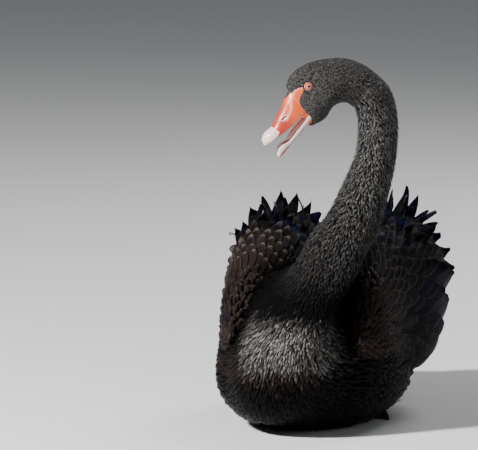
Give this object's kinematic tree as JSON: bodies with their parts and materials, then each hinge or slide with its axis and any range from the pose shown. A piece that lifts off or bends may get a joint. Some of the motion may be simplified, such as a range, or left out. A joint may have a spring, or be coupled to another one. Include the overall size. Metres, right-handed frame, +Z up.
{
  "type": "black swan",
  "caption": "Life-size still model of a black swan resting on its belly, with raised curled wing feathers, an upright curved neck and its head turned aside with the bill open",
  "frame": {"origin": "on the floor at the middle of the belly's flat", "axes": "+Z up, the bird faces -Y, +X is the bird's left"},
  "size_m": [0.3011, 0.5998, 0.4916],
  "materials": {
    "feathers": "soft black body feathers with brown-grey fringes",
    "quills": "stiff black wing and tail feathers, slightly glossy",
    "bill": "waxy coral red with a whitish band and tip",
    "tongue": "moist pink",
    "eye": "wet dark red iris with a black pupil",
    "leg": "dark grey scaly skin"
  },
  "bodies": {
    "root": {"torso": "feathers", "neck_lower": "feathers", "neck_middle": "feathers", "neck_upper": "feathers", "head": "feathers", "upper_bill": "bill", "lower_bill": "bill", "tongue": "tongue", "eye_left": "eye", "eye_right": "eye", "tail": "quills", "wing_left": "feathers", "wing_flight_left": "quills", "wing_right": "feathers", "wing_flight_right": "quills", "leg_left": "leg", "foot_left": "leg", "leg_right": "leg", "foot_right": "leg"}
  },
  "joints": []
}
